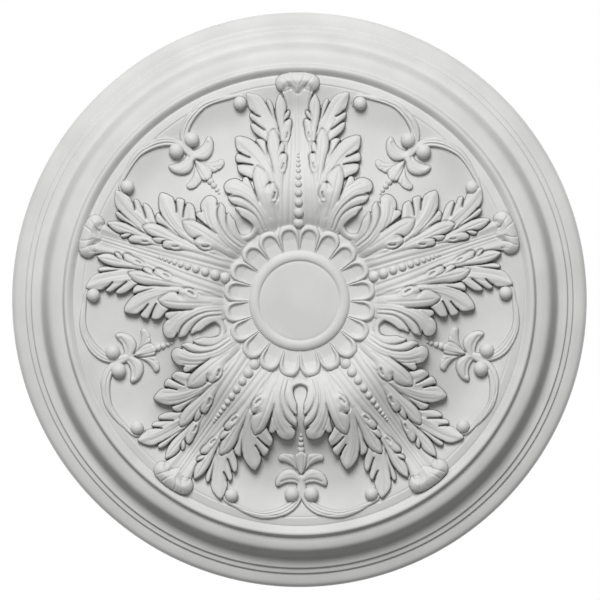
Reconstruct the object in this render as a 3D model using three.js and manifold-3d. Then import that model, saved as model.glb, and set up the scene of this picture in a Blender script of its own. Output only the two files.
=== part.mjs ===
// Ceiling rose: a round moulded ornament, 510 mm across, cast in one piece.
// Millimetres, +Z up. The flat back lies against the ceiling at z = 0 and the relief hangs below it.
// Everything is modelled as if the rose lay on its back, with heights counted from the back,
// and the finished mesh is turned over about the X axis. Its first arm then points to -Y.

import * as THREE from 'three';
import { mergeVertices } from 'three/addons/utils/BufferGeometryUtils.js';
import Module from 'manifold-3d';

// Overall sizes
const ROSE_RADIUS = 255;
const ROUND_STEPS = 40;
const ARM_COUNT = 5;
const PETAL_COUNT = 20;
const ARM_PITCH = (2 * Math.PI) / ARM_COUNT;
const PETAL_PITCH = (2 * Math.PI) / PETAL_COUNT;
const FIRST_ARM_ANGLE = Math.PI / 2;

// Heights of the main levels above the back
const EDGE_WALL = 4.5;
const OGEE_FOOT = 14.6;
const OGEE_TOP = 28.3;
const FRAME_BEAD_CREST = 31.2;
const FIELD_RIM = 30;
const FIELD_LOW = 26.9;
const CENTRE_DISC = 46.2;
const CENTRE_RIM = 47.4;
const FLUTE_FLOOR = 44.6;
const PETAL_LIP = 48.6;

// Radii of the centre boss
const DISC_RADIUS = 32.8;
const RIM_CREST_RADIUS = 38.5;
const RIM_RADIUS = 45.3;
const PETAL_INNER_RADIUS = 47;
const PETAL_OUTER_RADIUS = 67.5;
const PETAL_GAP = 1.1;

// How deep the parts of the ornament are sunk into the ground, so that they join it
const SUNK = 5;

// Turned section, from the centre of the back over the rim and the field to the centre disc
const ROUND_SECTION = [
  [0, 0],
  [ROSE_RADIUS - 1, 0],
  [ROSE_RADIUS, EDGE_WALL],
  [247, 9],
  [242.7, 9.6],
  [241, 12.2],
  [234, OGEE_FOOT],
  [225, 22.4],
  [217, 27.4],
  [211.2, OGEE_TOP],
  [206.8, FRAME_BEAD_CREST],
  [199.4, 28.9],
  [192.6, FIELD_RIM],
  [158, FIELD_LOW],
  [PETAL_OUTER_RADIUS - 2, 45.5],
  [RIM_RADIUS + 1, FLUTE_FLOOR],
  [RIM_RADIUS - 1, 46.6],
  [RIM_CREST_RADIUS, CENTRE_RIM],
  [DISC_RADIUS + 2, CENTRE_DISC],
  [0, CENTRE_DISC],
];

// Crest of an arm above the back, by distance from the rose's centre
const ARM_CREST = [
  [60, 47],
  [76, 52.5],
  [90, 54.5],
  [100, 53],
  [116, 47.5],
  [134, 40.5],
  [152, 35.5],
  [170, 33.5],
  [196, 33.5],
];

// String of beads down the middle of an arm: where it starts, the first bead, and how they shrink
const BEAD_COUNT = 11;
const FIRST_BEAD_DISTANCE = 69.2;
const FIRST_BEAD_RADIUS = 5;
const LAST_BEAD_RADIUS = 1.4;
const BEAD_SPACING = 1.86;

// Stem of an arm: half widths at distances from the rose's centre
const STEM_WIDTHS = [
  [60, 12],
  [80, 9.5],
  [100, 8],
  [125, 7.5],
  [150, 8.5],
  [168, 12.5],
  [186, 17],
];
const STEM_CHANNEL_DEPTH = 2.6;
const PINCHED_BEADS = 4;

// Curled-over leaf tip that ends an arm and overlaps the frame, seen from the front: its inner edge
// hangs over in three scallops. Points are [sideways, outwards] in the arm.
const KNOB_OUTLINE = [
  [18.5, 190],
  [15, 180],
  [9, 183.5],
  [0, 178.5],
  [-9, 183.5],
  [-15, 180],
  [-18.5, 190],
  [-12, 201.5],
  [12, 201.5],
];
const KNOB_CENTRE = [0, 191];
const KNOB_SHOULDER_RISE = 5.5;
const KNOB_RISE = 8;
const KNOB_TAPER = 0.8;

// Leaflets of one side of an arm, as [sideways, outwards] points in the arm. ridge runs from root to
// tip. outer and inner are the leaflet's two edges, each as [sideways, outwards, index of the ridge
// point it slopes up to]: outer from root to tip with its teeth, inner from tip back to root with
// the notch and the ear that stands beside the stem. rise is the ridge's height over its carrier.
const LEAFLETS = [
  {
    ridge: [[9, 106], [16, 133], [25, 155], [42, 179]],
    outer: [[28, 142, 1], [40, 155, 2], [34, 157, 2], [41.5, 164, 3]],
    inner: [[44, 182, 3], [34, 178, 3], [27, 164, 2], [16.5, 181, 2], [9.5, 160, 1], [7, 110, 0]],
    rise: 5,
  },
  {
    ridge: [[9, 75], [19.5, 102], [33, 124], [53, 143]],
    outer: [[36, 103, 1], [48, 110.5, 2], [43, 114, 2], [53, 118, 2], [46, 125, 3]],
    inner: [[55, 145, 3], [43, 143, 3], [27, 132, 2], [23, 150, 2], [14, 126, 1], [7.5, 78, 0]],
    rise: 5.5,
  },
  {
    ridge: [[12, 64], [28, 81], [44, 93], [62, 101]],
    outer: [[32, 67, 1], [56.5, 82, 2], [49, 85, 2], [61, 91.5, 2], [55, 95, 3]],
    inner: [[65, 103, 3], [47, 107, 3], [38, 98, 2], [36.5, 118, 2], [22, 95, 1], [9, 67, 0]],
    rise: 5,
  },
];
const LEAF_EDGE_RISE = 1.2;
const LOBE_STATIONS = 3;

// Ridge round the drop-shaped eye between the lower leaflets of two arms, in the bay's own frame
const EYE_PATH = [[6, 94], [9, 82], [0, 73.5], [-9, 82], [-6, 94]];
const EYE_WIDTH = 6;
const EYE_RISE = 4;

// Spray between two arms: beads, bellflower, husk leaves, balls and the two scrolled stems.
// Points are [sideways, outwards] in the spray's own frame, which runs out from the centre.
const SPRAY_BEADS = [
  { distance: 120.7, radius: 2.3 },
  { distance: 126.2, radius: 2.8 },
  { distance: 132.4, radius: 3.3 },
];
const SPRAY_COLLAR = { distance: 139, halfWidth: 5.6, halfLength: 2.4 };
const SPRAY_LEAVES = [
  { root: [0, 160], middle: [6, 150], tip: [20.4, 142.4], width: 8, rise: 4.5 },
  { root: [0, 168], middle: [13, 156], tip: [23, 164], width: 8, rise: 4.5 },
];
const BELL = { root: [0, 160], middle: [0, 152], tip: [0, 141], width: 14, rise: 5.5 };
const BIG_BALL = { sideways: 8.7, distance: 173.3, radius: 7.4, bands: 3 };
const SMALL_BALL = { sideways: 61.8, distance: 171.2, radius: 6.7, bands: 2 };
const SCROLL_PATH = [
  [0, 181],
  [17, 188],
  [42, 186],
  [58, 180],
  [66, 174],
];
const SCROLL_WIDTH = 6.5;
const SCROLL_RISE = 4;

const BOSS_STEPS = 6;
const BEAD_BANDS = 2;

const wasm = await Module();
wasm.setup();

// Straight-line reading of a table of [position, value] pairs, in either order of position
function readTable(table, position) {
  const rows = table[0][0] < table[table.length - 1][0] ? table : [...table].reverse();
  if (position <= rows[0][0]) return rows[0][1];
  for (let i = 1; i < rows.length; i += 1) {
    const [low, lowValue] = rows[i - 1];
    const [high, highValue] = rows[i];
    if (position <= high) {
      return lowValue + ((highValue - lowValue) * (position - low)) / (high - low);
    }
  }
  return rows[rows.length - 1][1];
}

// Height of the turned ground at a distance from the centre
const GROUND_SECTION = ROUND_SECTION.slice(2);
function groundHeight(distance) {
  return readTable(GROUND_SECTION, distance);
}

// A closed solid from a geometry, with shared vertices merged and faces turned outwards
function toSolid(geometry) {
  const bare = geometry.clone();
  bare.deleteAttribute('normal');
  bare.deleteAttribute('uv');
  const merged = mergeVertices(bare, 1e-4);
  const positions = merged.getAttribute('position').array;
  const indices = merged.getIndex().array;
  const triangles = [];
  const corners = [new THREE.Vector3(), new THREE.Vector3(), new THREE.Vector3()];
  let volume = 0;
  for (let i = 0; i < indices.length; i += 3) {
    const [a, b, c] = [indices[i], indices[i + 1], indices[i + 2]];
    if (a === b || b === c || c === a) continue;
    triangles.push([a, b, c]);
    corners.forEach((corner, k) => corner.fromArray(positions, indices[i + k] * 3));
    volume += corners[0].dot(corners[1].clone().cross(corners[2]));
  }
  const facingOut = volume > 0 ? triangles : triangles.map(([a, b, c]) => [a, c, b]);
  return new wasm.Manifold(
    new wasm.Mesh({
      numProp: 3,
      vertProperties: Float32Array.from(positions),
      triVerts: Uint32Array.from(facingOut.flat()),
    }),
  );
}

// Triangles between each ring of points and the next, for rings with equal numbers of points
function ringBands(rings, firstPoint) {
  const sides = rings[0].length;
  const index = [];
  for (let ring = 0; ring + 1 < rings.length; ring += 1) {
    const here = firstPoint + ring * sides;
    const there = here + sides;
    for (let side = 0; side < sides; side += 1) {
      const next = (side + 1) % sides;
      index.push(here + side, here + next, there + side);
      index.push(here + next, there + next, there + side);
    }
  }
  return index;
}

// A solid through a row of rings, closed at each end by one point
function loft(startPoint, rings, endPoint) {
  const sides = rings[0].length;
  const points = [startPoint, ...rings.flat(), endPoint];
  const end = points.length - 1;
  const last = end - sides;
  const index = ringBands(rings, 1);
  for (let side = 0; side < sides; side += 1) {
    const next = (side + 1) % sides;
    index.push(0, 1 + next, 1 + side);
    index.push(last + side, last + next, end);
  }
  const geometry = new THREE.BufferGeometry().setFromPoints(points);
  geometry.setIndex(index);
  return toSolid(geometry);
}

// A solid through a row of rings whose first and last rings fold flat along a line
function foldedLoft(rings) {
  const geometry = new THREE.BufferGeometry().setFromPoints(rings.flat());
  geometry.setIndex(ringBands(rings, 0));
  return toSolid(geometry);
}

// A smooth curve through [sideways, outwards] points, in the plane of the back
function planCurve(points) {
  return new THREE.CatmullRomCurve3(points.map(([x, y]) => new THREE.Vector3(x, y, 0)));
}

// One crowned lobe of a leaf: a lofted ridge that starts narrow, swells and ends in a point
function leafLobe({ root, middle, tip, width, rise }, carrier) {
  const curve = planCurve([root, middle, tip]);
  const rings = [];
  for (let i = 1; i < LOBE_STATIONS; i += 1) {
    const share = i / LOBE_STATIONS;
    const at = curve.getPoint(share);
    const along = curve.getTangent(share);
    const across = new THREE.Vector3(along.y, -along.x, 0);
    const half = 0.5 * width;
    const ridge = carrier(at) + rise;
    const foot = groundHeight(at.length()) - SUNK;
    rings.push([
      at.clone().addScaledVector(across, half).setZ(foot),
      at.clone().setZ(ridge),
      at.clone().addScaledVector(across, -half).setZ(foot),
    ]);
  }
  const start = curve.getPoint(0);
  const end = curve.getPoint(1);
  start.setZ(carrier(start) - SUNK);
  end.setZ(carrier(end));
  return loft(start, rings, end);
}

// A leaflet with toothed edges that slope up to its ridge
function leaflet({ ridge, outer, inner, rise }) {
  const edge = [[...ridge[0], 0], ...outer, ...inner];
  const ridgePoint = ([, , index]) => new THREE.Vector3(...ridge[index], 0);
  const edgePoint = ([sideways, outwards]) => new THREE.Vector3(sideways, outwards, 0);
  const onGround = (at) => at.setZ(groundHeight(at.length()) - SUNK);
  return foldedLoft([
    edge.map((row) => onGround(ridgePoint(row))),
    edge.map((row) => onGround(edgePoint(row))),
    edge.map(edgePoint).map((at) => at.setZ(armSurface(at) + LEAF_EDGE_RISE)),
    edge.map(ridgePoint).map((at) => at.setZ(armSurface(at) + rise)),
  ]);
}

// A rounded boss: a faceted ellipsoid with its centre at a given height
function boss(sideways, outwards, height, halfWidth, halfLength, halfHeight, bands) {
  const geometry = new THREE.SphereGeometry(1, BOSS_STEPS, bands);
  geometry.rotateX(Math.PI / 2);
  geometry.scale(halfWidth, halfLength, halfHeight);
  geometry.translate(sideways, outwards, height);
  return toSolid(geometry);
}

// A ridge of even width along a smooth path on the ground
function sweptRidge(path, width, rise) {
  const curve = planCurve(path);
  const stations = path.length - 1;
  const rings = [];
  for (let i = 0; i <= stations; i += 1) {
    const share = i / stations;
    const at = curve.getPoint(share);
    const along = curve.getTangent(share);
    const across = new THREE.Vector3(along.y, -along.x, 0);
    const ground = groundHeight(at.length());
    rings.push([
      at.clone().addScaledVector(across, 0.5 * width).setZ(ground - SUNK),
      at.clone().setZ(ground + rise),
      at.clone().addScaledVector(across, -0.5 * width).setZ(ground - SUNK),
    ]);
  }
  const start = curve.getPoint(0);
  const end = curve.getPoint(1);
  start.addScaledVector(curve.getTangent(0), -1).setZ(groundHeight(start.length()));
  end.addScaledVector(curve.getTangent(1), 1).setZ(groundHeight(end.length()));
  return loft(start, rings, end);
}

// The turned body: frame mouldings round the dished field and its centre disc
function turnedBody() {
  const profile = ROUND_SECTION.map(([radius, height]) => new THREE.Vector2(radius, height));
  const geometry = new THREE.LatheGeometry(profile, ROUND_STEPS);
  geometry.rotateX(Math.PI / 2);
  return toSolid(geometry);
}

// One petal of the ring about the centre, pointing along +Y: raised edges round a dished middle
function petal() {
  const outerHalf = PETAL_OUTER_RADIUS * Math.tan(PETAL_PITCH / 2) - PETAL_GAP;
  const innerHalf = PETAL_INNER_RADIUS * Math.tan(PETAL_PITCH / 2) - PETAL_GAP;
  const shoulder = PETAL_OUTER_RADIUS - 0.6 * outerHalf;
  const outline = [
    [innerHalf, PETAL_INNER_RADIUS, FLUTE_FLOOR + 0.6],
    [outerHalf, shoulder, PETAL_LIP],
    [0.5 * outerHalf, PETAL_OUTER_RADIUS, PETAL_LIP],
    [-0.5 * outerHalf, PETAL_OUTER_RADIUS, PETAL_LIP],
    [-outerHalf, shoulder, PETAL_LIP],
    [-innerHalf, PETAL_INNER_RADIUS, FLUTE_FLOOR + 0.6],
  ];
  const raised = outline.map(([sideways, outwards, lip]) => new THREE.Vector3(sideways, outwards, lip));
  const sunk = raised.map((at) => at.clone().setZ(FLUTE_FLOOR - SUNK));
  const below = new THREE.Vector3(0, shoulder - 4, FLUTE_FLOOR - SUNK);
  const dish = new THREE.Vector3(0, shoulder - 4, FLUTE_FLOOR + 1);
  return loft(below, [sunk, raised], dish);
}

// Sections of the stem: one across each bead, one across the pinch after each of the larger beads,
// and those of its plain end
function stemStations() {
  const stations = [{ distance: STEM_WIDTHS[0][0], bead: 0 }];
  let distance = FIRST_BEAD_DISTANCE;
  for (let i = 0; i < BEAD_COUNT; i += 1) {
    const share = i / (BEAD_COUNT - 1);
    const radius = FIRST_BEAD_RADIUS + (LAST_BEAD_RADIUS - FIRST_BEAD_RADIUS) * share;
    stations.push({ distance, bead: radius });
    if (i < PINCHED_BEADS) {
      stations.push({ distance: distance + 0.5 * BEAD_SPACING * radius, bead: 0.3 * radius });
    }
    distance += BEAD_SPACING * radius;
  }
  const plain = STEM_WIDTHS.filter(([at]) => at > distance + 5);
  return [...stations, ...plain.map(([at]) => ({ distance: at, bead: 0 }))];
}

// The middle stem of an arm, with the tapering string of beads in a channel down its face
function armStem() {
  const stations = stemStations();
  const rings = stations.map(({ distance, bead }) => {
    const half = readTable(STEM_WIDTHS, distance);
    const crest = readTable(ARM_CREST, distance);
    const foot = groundHeight(distance) - SUNK;
    const channel = crest - STEM_CHANNEL_DEPTH;
    return [
      new THREE.Vector3(half, distance, foot),
      new THREE.Vector3(0.75 * half, distance, crest),
      new THREE.Vector3(0, distance, channel + 1.3 * bead),
      new THREE.Vector3(-0.75 * half, distance, crest),
      new THREE.Vector3(-half, distance, foot),
    ];
  });
  const first = STEM_WIDTHS[0][0];
  const last = STEM_WIDTHS[STEM_WIDTHS.length - 1][0];
  const start = new THREE.Vector3(0, first - 1, groundHeight(first) - 1);
  const end = new THREE.Vector3(0, last + 5, groundHeight(last) + 1);
  return loft(start, rings, end);
}

// The curled-over tip: its outline drawn in towards the crest
function armKnob() {
  const centre = new THREE.Vector3(...KNOB_CENTRE, 0);
  const ground = groundHeight(centre.y);
  const sunk = KNOB_OUTLINE.map((at) => new THREE.Vector3(...at, ground - SUNK));
  const shoulder = KNOB_OUTLINE.map((at) => {
    return new THREE.Vector3(...at, 0).lerp(centre, 1 - KNOB_TAPER).setZ(ground + KNOB_SHOULDER_RISE);
  });
  const below = centre.clone().setZ(ground - SUNK);
  return loft(below, [sunk, shoulder], centre.clone().setZ(ground + KNOB_RISE));
}

// Surface that carries the leaflets: it falls from the arm's crest to the ground away from the stem
function armSurface(at) {
  const ground = groundHeight(at.length());
  const crest = readTable(ARM_CREST, at.y);
  const spread = THREE.MathUtils.clamp(1 - Math.abs(at.x) / 62, 0, 1);
  return ground + 1.5 + Math.max(0, crest - ground - 3) * spread;
}

// Mirror images about the middle of an arm or spray
function mirroredLobe(lobe) {
  const flip = ([sideways, outwards]) => [-sideways, outwards];
  return { ...lobe, root: flip(lobe.root), middle: flip(lobe.middle), tip: flip(lobe.tip) };
}

function mirroredSolid(solid) {
  const geometry = toGeometry(solid.getMesh());
  geometry.scale(-1, 1, 1);
  return toSolid(geometry);
}

// All the pieces of ornament on one arm, pointing along +Y
function armPieces() {
  const side = LEAFLETS.map(leaflet);
  return [armStem(), armKnob(), ...side, ...side.map(mirroredSolid)];
}

// All the pieces of ornament in the bay between two arms, pointing along +Y
function sprayPieces() {
  const onGround = (at) => groundHeight(at.length());
  const pieces = SPRAY_BEADS.map(({ distance, radius }) => {
    return boss(0, distance, groundHeight(distance), radius, radius, 1.4 * radius, BEAD_BANDS);
  });
  const { distance, halfWidth, halfLength } = SPRAY_COLLAR;
  pieces.push(
    boss(0, distance, groundHeight(distance), halfWidth, halfLength, halfWidth, BEAD_BANDS),
  );
  pieces.push(leafLobe(BELL, onGround));
  pieces.push(sweptRidge(EYE_PATH, EYE_WIDTH, EYE_RISE));
  for (const lobe of SPRAY_LEAVES) {
    pieces.push(leafLobe(lobe, onGround), leafLobe(mirroredLobe(lobe), onGround));
  }
  for (const side of [1, -1]) {
    for (const ball of [BIG_BALL, SMALL_BALL]) {
      const ground = groundHeight(Math.hypot(ball.sideways, ball.distance));
      const size = ball.radius;
      pieces.push(boss(side * ball.sideways, ball.distance, ground, size, size, size, ball.bands));
    }
    const path = SCROLL_PATH.map(([sideways, outwards]) => [side * sideways, outwards]);
    pieces.push(sweptRidge(path, SCROLL_WIDTH, SCROLL_RISE));
  }
  return pieces;
}

// Joins a set of solids into one, pairing them up so that each join stays small
function joinAll(solids) {
  let remaining = solids;
  while (remaining.length > 1) {
    const joined = [];
    for (let i = 0; i < remaining.length; i += 2) {
      joined.push(i + 1 < remaining.length ? remaining[i].add(remaining[i + 1]) : remaining[i]);
    }
    remaining = joined;
  }
  return remaining[0];
}

// Copies of a solid turned about the rose's axis, from a first angle in equal steps
function turnedCopies(solid, count, firstAngle) {
  const mesh = solid.getMesh();
  const copies = [];
  for (let i = 0; i < count; i += 1) {
    const geometry = toGeometry(mesh);
    geometry.rotateZ(firstAngle - Math.PI / 2 + (i * 2 * Math.PI) / count);
    copies.push(toSolid(geometry));
  }
  return copies;
}

// A geometry with flat faces from a solid's mesh
function toGeometry(mesh) {
  const geometry = new THREE.BufferGeometry();
  geometry.setAttribute('position', new THREE.BufferAttribute(Float32Array.from(mesh.vertProperties), 3));
  geometry.setIndex(Array.from(mesh.triVerts));
  return geometry;
}

const arms = turnedCopies(joinAll(armPieces()), ARM_COUNT, FIRST_ARM_ANGLE);
const sprays = turnedCopies(joinAll(sprayPieces()), ARM_COUNT, FIRST_ARM_ANGLE + ARM_PITCH / 2);
const petals = turnedCopies(petal(), PETAL_COUNT, FIRST_ARM_ANGLE + PETAL_PITCH / 2);
const rose = joinAll([turnedBody(), ...arms, ...sprays, ...petals]);

const primedFoam = new THREE.MeshStandardMaterial({
  color: 0xe4e4e4,
  roughness: 0.75,
  metalness: 0,
  flatShading: true,
});
const roseMesh = new THREE.Mesh(toGeometry(rose.getMesh()), primedFoam);
roseMesh.name = 'ceiling_rose';
roseMesh.rotation.x = Math.PI;

const ceilingRose = new THREE.Group();
ceilingRose.add(roseMesh);

export default ceilingRose;
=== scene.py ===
"""Moulded ceiling rose with five acanthus arms, modelled and lit for a render.

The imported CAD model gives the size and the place.  This script covers its plain
solid with the finer relief: the turned frame, the dished petals round the centre,
the acanthus arms with their bead strings, and the scroll sprays between them.

Lengths are worked in millimetres in a bench frame, with x to the right, y up and
the height h above the flat back, as the rose is seen from below.  The last step
turns each mesh over into the room: (x, y, h) becomes (x, -y, -h) in metres.
"""
import logging
import math
from dataclasses import dataclass
from enum import Enum
from typing import Any, Callable, Sequence

import bpy
import mathutils
import numpy as np
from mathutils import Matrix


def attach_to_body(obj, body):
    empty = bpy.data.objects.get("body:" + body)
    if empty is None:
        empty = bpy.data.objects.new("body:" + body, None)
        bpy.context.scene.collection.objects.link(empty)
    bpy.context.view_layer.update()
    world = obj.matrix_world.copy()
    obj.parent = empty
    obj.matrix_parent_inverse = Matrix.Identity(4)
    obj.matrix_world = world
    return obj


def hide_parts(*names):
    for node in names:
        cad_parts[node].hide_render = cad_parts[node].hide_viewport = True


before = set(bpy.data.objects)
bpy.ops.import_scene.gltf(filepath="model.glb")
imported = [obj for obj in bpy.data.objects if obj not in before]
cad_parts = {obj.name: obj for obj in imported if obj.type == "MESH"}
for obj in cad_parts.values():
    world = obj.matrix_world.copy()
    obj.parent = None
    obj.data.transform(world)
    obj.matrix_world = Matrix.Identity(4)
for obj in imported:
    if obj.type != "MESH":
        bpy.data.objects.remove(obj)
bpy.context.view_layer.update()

LOG = logging.getLogger("ceiling_rose")

MM = 0.001
CAD_NODE = "ceiling_rose"
BODY = "root"
RECESS = "recess"

ROSE_RADIUS = 255.0
ARM_COUNT = 5
PETAL_COUNT = 20
ARM_TURN = 2.0 * math.pi / ARM_COUNT
PETAL_SET = math.radians(0.4)
SOLID_FLOOR = 18.0

Point = tuple[float, float]
Curve = Callable[[np.ndarray], np.ndarray]
Faces = list[list[int]]


# Reading curves from a few real measures.

def smooth_curve(rows: Sequence[Point]) -> Curve:
    """Make a smooth curve that never overshoots the given rows.

    Args:
        rows: (position, value) pairs with rising positions.

    Returns:
        A function from positions to values, held level beyond both ends.
    """
    spots = np.array(rows, float)
    x, y = spots[:, 0], spots[:, 1]
    gaps = np.diff(x)
    slopes = np.diff(y) / gaps
    lean = np.zeros(len(x))
    lean[0], lean[-1] = slopes[0], slopes[-1]
    for i in range(1, len(x) - 1):
        if slopes[i - 1] * slopes[i] > 0.0:
            near = 2.0 * gaps[i] + gaps[i - 1]
            far = gaps[i] + 2.0 * gaps[i - 1]
            lean[i] = (near + far) / (near / slopes[i - 1] + far / slopes[i])

    def value(place: np.ndarray) -> np.ndarray:
        """Read the curve.

        Args:
            place: positions to read it at.

        Returns:
            The values there.
        """
        place = np.clip(place, x[0], x[-1])
        i = np.clip(np.searchsorted(x, place) - 1, 0, len(x) - 2)
        s = (place - x[i]) / gaps[i]
        return (
            (1 + 2 * s) * (1 - s) ** 2 * y[i]
            + s * (1 - s) ** 2 * gaps[i] * lean[i]
            + s * s * (3 - 2 * s) * y[i + 1]
            + s * s * (s - 1) * gaps[i] * lean[i + 1]
        )

    return value


def ease(share: np.ndarray) -> np.ndarray:
    """Turn a share from 0 to 1 into one that starts and stops gently."""
    share = np.clip(share, 0.0, 1.0)
    return share * share * (3.0 - 2.0 * share)


def soft_max(first: np.ndarray, second: np.ndarray, reach: float) -> np.ndarray:
    """Take the higher of two surfaces, with a fillet where they meet.

    Args:
        first: heights of one surface in mm.
        second: heights of the other surface in mm.
        reach: height difference in mm within which the fillet forms.

    Returns:
        The joined heights in mm.
    """
    if reach <= 0.0:
        return np.maximum(first, second)
    near = np.clip(reach - np.abs(first - second), 0.0, None) / reach
    return np.maximum(first, second) + near * near * reach * 0.25


# Heights above the back by distance from the middle, in mm.
GROUND = smooth_curve([
    (55, 44.5), (70, 45.2), (74, 45.2), (78, 45.0), (82, 45.9), (88, 48.1), (93, 49.7),
    (97, 50.1), (101, 49.4), (107, 46.8), (114, 42.7), (121, 38.4), (127, 35.4), (133, 32.9),
    (141, 30.1), (149, 28.0), (160, 26.5), (166, 26.0), (170, 26.1), (174, 26.5),
    (178, 27.1), (182, 27.9), (186, 28.8), (190, 29.6), (190.9, 29.6), (191.4, 29.3),
    (192.0, 29.5), (192.8, 29.9), (194.0, 29.8), (197.0, 29.4), (198.6, 29.1), (199.4, 28.6),
    (200.0, 28.6), (200.6, 29.2), (202.0, 30.6), (203.4, 31.9), (204.6, 32.7), (206.0, 33.2),
    (207.0, 33.1), (207.9, 32.4), (208.6, 31.1), (209.2, 29.7),
    (209.8, 28.6), (211.0, 28.4), (213.0, 28.2), (214.8, 28.0), (216.6, 27.65), (218.3, 27.2),
    (220.1, 26.4), (221.9, 24.9), (223.7, 22.2), (225.5, 18.2), (227.2, 14.2), (228.8, 11.2),
    (230.2, 10.1), (232.0, 9.6), (234.0, 9.3), (237.0, 9.1), (237.5, 8.8), (238.3, 6.9),
    (238.8, 6.7), (242.0, 6.2), (242.4, 6.0), (243.1, 4.3), (243.7, 4.15), (246.0, 3.9),
    (249.0, 3.35), (251.0, 2.8), (252.0, 2.35), (253.0, 1.75), (253.8, 1.0), (254.4, 0.4),
    (255.0, 0.1),
])
LEAF = smooth_curve([
    (55, 42.5), (62, 43.6), (67, 45.8), (70.5, 48.2), (75, 50.6), (84, 53.3), (92, 54.1),
    (98, 53.7), (106, 51.7), (115, 48.0), (124, 44), (133, 40.2), (142, 36.8), (151, 34.0),
    (160, 32.2), (170, 31.4), (180, 31.6), (190, 32.3), (205, 33),
])


# Strokes of relief.  Widths, depths and heights are in mm.

SPINE_STEPS = 26
CORNER_CUTS = 2
SHEET_MARGIN = 4.0
BAND_FILLET = 0.9
VEIN_ENDS = (0.1, 0.9)
VEIN_FADE = 0.12
QUIRK_DEPTH = 1.6
QUIRK_PLACE = 0.45
QUIRK_WIDTH = 0.6
FAR = 1.0e9
TINY = 1.0e-12


def spine(points: Sequence[Point]) -> np.ndarray:
    """Draw an evenly spaced smooth line through a few points.

    Args:
        points: three or more points in mm.

    Returns:
        An array of SPINE_STEPS + 1 points.
    """
    spots = np.array(points, float)
    if len(spots) == 3:
        t = np.linspace(0.0, 1.0, SPINE_STEPS + 1)[:, None]
        pull = 2.0 * spots[1] - 0.5 * (spots[0] + spots[2])
        line = (1 - t) ** 2 * spots[0] + 2 * t * (1 - t) * pull + t ** 2 * spots[2]
    else:
        ends = np.vstack([2 * spots[0] - spots[1], spots, 2 * spots[-1] - spots[-2]])
        spans = len(spots) - 1
        place = np.linspace(0.0, spans, SPINE_STEPS * 3 + 1)
        first = np.minimum(place.astype(int), spans - 1)
        f = (place - first)[:, None]
        a, b, c, d = (ends[first + k] for k in range(4))
        line = 0.5 * (2 * b + (c - a) * f + (2 * a - 5 * b + 4 * c - d) * f * f
                      + (3 * b - a - 3 * c + d) * f ** 3)
    run = np.r_[0.0, np.cumsum(np.hypot(*np.diff(line, axis=0).T))]
    steps = np.linspace(0.0, run[-1], SPINE_STEPS + 1)
    return np.c_[np.interp(steps, run, line[:, 0]), np.interp(steps, run, line[:, 1])]


def project(u: np.ndarray, v: np.ndarray, line: np.ndarray) -> tuple[np.ndarray, ...]:
    """Find where points lie along and beside a line.

    Args:
        u: sideways places in mm.
        v: outward places in mm.
        line: points of the line.

    Returns:
        The distance to the line, the share along it, and the side as +1 or -1.
    """
    best = np.full(u.shape, FAR)
    share = np.zeros(u.shape)
    side = np.ones(u.shape)
    spans = len(line) - 1
    for i in range(spans):
        du, dv = line[i + 1] - line[i]
        off_u, off_v = u - line[i][0], v - line[i][1]
        along = np.clip((off_u * du + off_v * dv) / (du * du + dv * dv + TINY), 0.0, 1.0)
        off_u, off_v = off_u - along * du, off_v - along * dv
        gap = off_u * off_u + off_v * off_v
        nearer = gap < best
        best = np.where(nearer, gap, best)
        share = np.where(nearer, (i + along) / spans, share)
        side = np.where(nearer, np.where(dv * off_u - du * off_v > 0.0, 1.0, -1.0), side)
    return np.sqrt(best), share, side


@dataclass(frozen=True)
class Vein:
    """A fine groove along a band, its offset a share of the band's half width."""

    offset: float
    depth: float
    width: float


@dataclass(frozen=True)
class Band:
    """A raised band with a crowned top along a path; root, widest and tip are shares."""

    path: tuple[Point, ...]
    width: float
    root: float
    widest: float
    tip: float
    lift: tuple[Point, ...]
    crown: float
    roll: float
    wall: float
    taper: float = 1.8
    veins: tuple[Vein, ...] = ()


@dataclass(frozen=True)
class Cut:
    """A carved slit, eye or groove, or with a negative depth a soft ridge."""

    path: tuple[Point, ...]
    width: float
    depth: float
    end_width: float = 0.6
    end_depth: float = 1.0


@dataclass(frozen=True)
class Blade:
    """A raised area with a drawn outline, rolled over at its edge.

    Rows adds a lift by outward distance, and blend is the fillet to what lies beside it.
    """

    outline: tuple[Point, ...]
    rise: float = 0.0
    crown: float = 1.0
    crown_reach: float = 5.0
    roll: float = 0.8
    wall: float = 11.0
    blend: float = 0.0
    rows: tuple[Point, ...] = ((0.0, 0.0), (300.0, 0.0))


Stroke = Band | Blade | Cut


def rounded_outline(points: Sequence[Point]) -> np.ndarray:
    """Round an outline by cutting its corners a few times.

    Args:
        points: corners in mm.

    Returns:
        The corners of the rounded outline.
    """
    spots = np.array(points, float)
    for _ in range(CORNER_CUTS):
        after = np.roll(spots, -1, axis=0)
        spots = np.stack([spots * 0.8 + after * 0.2, spots * 0.2 + after * 0.8], axis=1)
        spots = spots.reshape(-1, 2)
    return spots


def depth_inside(u: np.ndarray, v: np.ndarray, outline: np.ndarray) -> np.ndarray:
    """Measure how far points lie inside an outline.

    Args:
        u: sideways places in mm.
        v: outward places in mm.
        outline: the outline's corners.

    Returns:
        Distance to the outline in mm, positive inside and negative outside.
    """
    best = np.full(u.shape, FAR)
    inside = np.zeros(u.shape, bool)
    for (au, av), (bu, bv) in zip(outline, np.roll(outline, -1, axis=0)):
        du, dv = bu - au, bv - av
        along = np.clip(((u - au) * du + (v - av) * dv) / (du * du + dv * dv + TINY), 0.0, 1.0)
        best = np.minimum(best, (u - au - along * du) ** 2 + (v - av - along * dv) ** 2)
        if av != bv:
            inside ^= ((av > v) != (bv > v)) & (u < (bu - au) * (v - av) / (bv - av) + au)
    return np.where(inside, 1.0, -1.0) * np.sqrt(best)


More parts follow.
